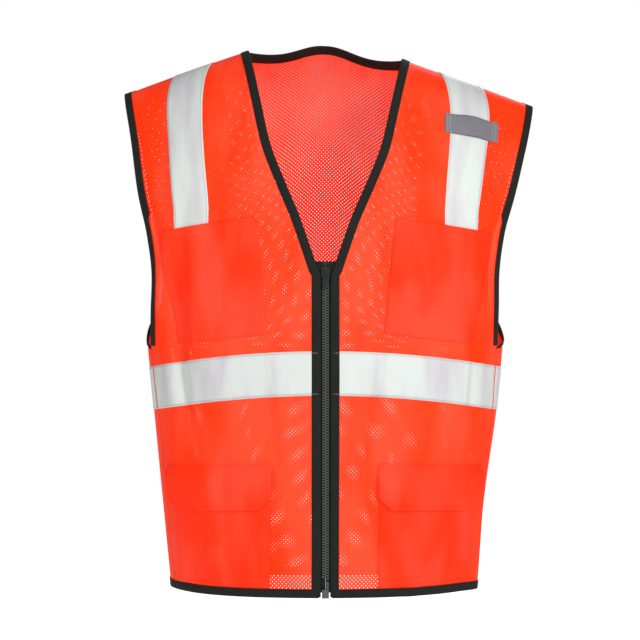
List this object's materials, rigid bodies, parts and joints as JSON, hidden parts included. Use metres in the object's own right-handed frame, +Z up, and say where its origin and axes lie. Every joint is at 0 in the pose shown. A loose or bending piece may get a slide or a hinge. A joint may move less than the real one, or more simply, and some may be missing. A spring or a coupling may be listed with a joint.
{
  "type": "high visibility vest",
  "caption": "Sleeveless zip-front safety vest of perforated orange-red cloth with silver tapes, black edge binding, patch and flap pockets and a mic tab.",
  "frame": {"origin": "midway between the two points where the shoulder seams meet the neck", "axes": "+Z up, the front faces -Y, +X to the left of the wearer"},
  "size_m": [0.4714, 0.2668, 0.6449],
  "materials": {
    "mesh_cloth": "perforated fluorescent knit",
    "pocket_knit": "plain fluorescent knit",
    "binding": "black folded binding",
    "reflective_tape": "silver glass-bead tape",
    "webbing": "ribbed grey webbing",
    "zip_tape": "woven zip tape",
    "zip_plastic": "moulded black",
    "slider_metal": "black enamel",
    "hook_and_loop": "hook and loop"
  },
  "bodies": {
    "vest": {"back_panel": "mesh_cloth", "back_neck_binding": "binding", "back_hem_binding": "binding", "back_waist_tape": "reflective_tape", "mic_tab": "webbing", "right_front_yoke": "mesh_cloth", "right_neck_binding": "binding", "right_armhole_binding": "binding", "right_armhole_back_binding": "binding", "right_shoulder_tape": "reflective_tape", "left_front_yoke": "mesh_cloth", "left_neck_binding": "binding", "left_armhole_binding": "binding", "left_armhole_back_binding": "binding", "left_shoulder_tape": "reflective_tape"},
    "front_right": {"right_front_panel": "mesh_cloth", "right_front_binding": "binding", "right_armhole_front_binding": "binding", "right_hem_binding": "binding", "right_waist_tape": "reflective_tape", "right_chest_pocket": "pocket_knit", "right_lower_pocket": "pocket_knit", "right_pocket_loop": "hook_and_loop", "right_zip_tape": "zip_tape", "right_zip_teeth": "zip_plastic", "right_top_stop": "zip_plastic", "retainer_box": "zip_plastic"},
    "front_left": {"left_front_panel": "mesh_cloth", "left_front_binding": "binding", "left_armhole_front_binding": "binding", "left_hem_binding": "binding", "left_waist_tape": "reflective_tape", "left_chest_pocket": "pocket_knit", "left_lower_pocket": "pocket_knit", "left_pocket_loop": "hook_and_loop", "left_zip_tape": "zip_tape", "left_zip_teeth": "zip_plastic", "left_top_stop": "zip_plastic", "insertion_pin": "zip_plastic"},
    "flap_right": {"right_pocket_flap": "pocket_knit", "right_flap_hook": "hook_and_loop"},
    "flap_left": {"left_pocket_flap": "pocket_knit", "left_flap_hook": "hook_and_loop"},
    "slider": {"slider_body": "slider_metal"},
    "pull": {"slider_pull": "slider_metal"}
  },
  "joints": [
    {"name": "right_front_open", "type": "hinge", "parent": "vest", "child": "front_right", "pos_m": [-0.20379, -0.04085, -0.34], "axis": [0.0934, 0, -0.9956], "range_deg": [0, 60]},
    {"name": "left_front_open", "type": "hinge", "parent": "vest", "child": "front_left", "pos_m": [0.20379, -0.04085, -0.34], "axis": [0.0934, 0, 0.9956], "range_deg": [0, 60]},
    {"name": "slider_travel", "type": "slide", "parent": "front_right", "child": "slider", "axis": [0, 0, -1], "range_m": [0, 0.35]},
    {"name": "pull_swing", "type": "hinge", "parent": "slider", "child": "pull", "pos_m": [0, -0.13975, -0.2543], "axis": [-1, 0, 0], "range_deg": [0, 170]},
    {"name": "right_flap_lift", "type": "hinge", "parent": "front_right", "child": "flap_right", "pos_m": [-0.1234, -0.1137, -0.477], "axis": [-0.8483, 0.5279, -0.0421], "range_deg": [0, 110]},
    {"name": "left_flap_lift", "type": "hinge", "parent": "front_left", "child": "flap_left", "pos_m": [0.1234, -0.1137, -0.477], "axis": [-0.8483, -0.5279, 0.0421], "range_deg": [0, 110]}
  ]
}
